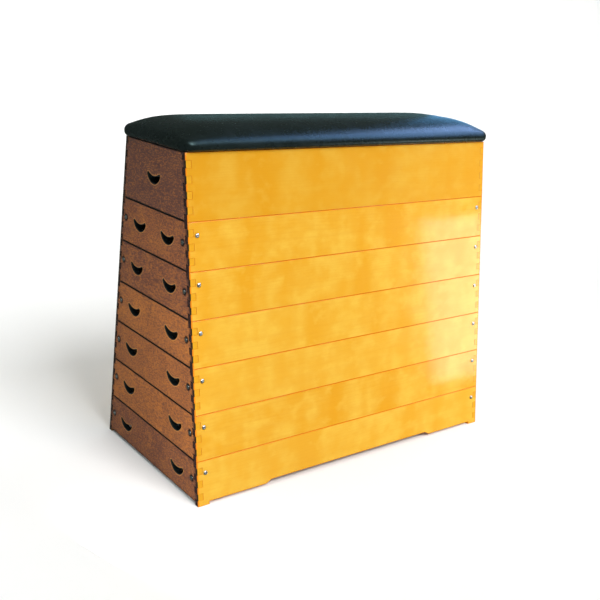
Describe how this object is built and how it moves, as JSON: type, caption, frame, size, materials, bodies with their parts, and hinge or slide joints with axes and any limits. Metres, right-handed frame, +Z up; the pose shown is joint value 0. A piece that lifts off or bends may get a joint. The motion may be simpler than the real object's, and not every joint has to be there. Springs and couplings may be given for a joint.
{
  "type": "vaulting box",
  "caption": "Padded sectional vaulting box: slanted wooden frames stack on corner posts, with crescent handholes in their ends and a crowned leather top.",
  "frame": {"origin": "on the floor under the middle of the box", "axes": "+X along the box to the right end, +Y across it to the back, +Z up"},
  "size_m": [1.226, 0.61, 1.1059],
  "materials": {
    "varnished_board": "clear amber varnish, satin to glossy",
    "corner_post": "bare planed hardwood",
    "deck_plywood": "bare plywood",
    "foam": "open foam",
    "leather": "black grained leather, semi gloss",
    "bolt_steel": "bright zinc plated steel"
  },
  "bodies": {
    "section_7": {"section_7_front_board": "varnished_board", "section_7_back_board": "varnished_board", "section_7_left_end": "varnished_board", "section_7_right_end": "varnished_board", "section_7_post_front_left": "corner_post", "section_7_post_front_right": "corner_post", "section_7_post_back_right": "corner_post", "section_7_post_back_left": "corner_post"},
    "section_6": {"section_6_front_board": "varnished_board", "section_6_back_board": "varnished_board", "section_6_left_end": "varnished_board", "section_6_right_end": "varnished_board", "section_6_post_front_left": "corner_post", "section_6_post_front_right": "corner_post", "section_6_post_back_right": "corner_post", "section_6_post_back_left": "corner_post"},
    "section_5": {"section_5_front_board": "varnished_board", "section_5_back_board": "varnished_board", "section_5_left_end": "varnished_board", "section_5_right_end": "varnished_board", "section_5_post_front_left": "corner_post", "section_5_post_front_right": "corner_post", "section_5_post_back_right": "corner_post", "section_5_post_back_left": "corner_post"},
    "section_4": {"section_4_front_board": "varnished_board", "section_4_back_board": "varnished_board", "section_4_left_end": "varnished_board", "section_4_right_end": "varnished_board", "section_4_post_front_left": "corner_post", "section_4_post_front_right": "corner_post", "section_4_post_back_right": "corner_post", "section_4_post_back_left": "corner_post"},
    "section_3": {"section_3_front_board": "varnished_board", "section_3_back_board": "varnished_board", "section_3_left_end": "varnished_board", "section_3_right_end": "varnished_board", "section_3_post_front_left": "corner_post", "section_3_post_front_right": "corner_post", "section_3_post_back_right": "corner_post", "section_3_post_back_left": "corner_post"},
    "section_2": {"section_2_front_board": "varnished_board", "section_2_back_board": "varnished_board", "section_2_left_end": "varnished_board", "section_2_right_end": "varnished_board", "section_2_post_front_left": "corner_post", "section_2_post_front_right": "corner_post", "section_2_post_back_right": "corner_post", "section_2_post_back_left": "corner_post"},
    "section_1": {"section_1_front_board": "varnished_board", "section_1_back_board": "varnished_board", "section_1_left_end": "varnished_board", "section_1_right_end": "varnished_board", "deck": "deck_plywood", "foam_core": "foam", "leather_cover": "leather"}
  },
  "joints": [
    {"name": "section_6_lift", "type": "slide", "parent": "section_7", "child": "section_6", "axis": [0, 0, 1], "range_m": [0, 0.1]},
    {"name": "section_5_lift", "type": "slide", "parent": "section_6", "child": "section_5", "axis": [0, 0, 1], "range_m": [0, 0.1]},
    {"name": "section_4_lift", "type": "slide", "parent": "section_5", "child": "section_4", "axis": [0, 0, 1], "range_m": [0, 0.1]},
    {"name": "section_3_lift", "type": "slide", "parent": "section_4", "child": "section_3", "axis": [0, 0, 1], "range_m": [0, 0.1]},
    {"name": "section_2_lift", "type": "slide", "parent": "section_3", "child": "section_2", "axis": [0, 0, 1], "range_m": [0, 0.1]},
    {"name": "section_1_lift", "type": "slide", "parent": "section_2", "child": "section_1", "axis": [0, 0, 1], "range_m": [0, 0.1]}
  ]
}
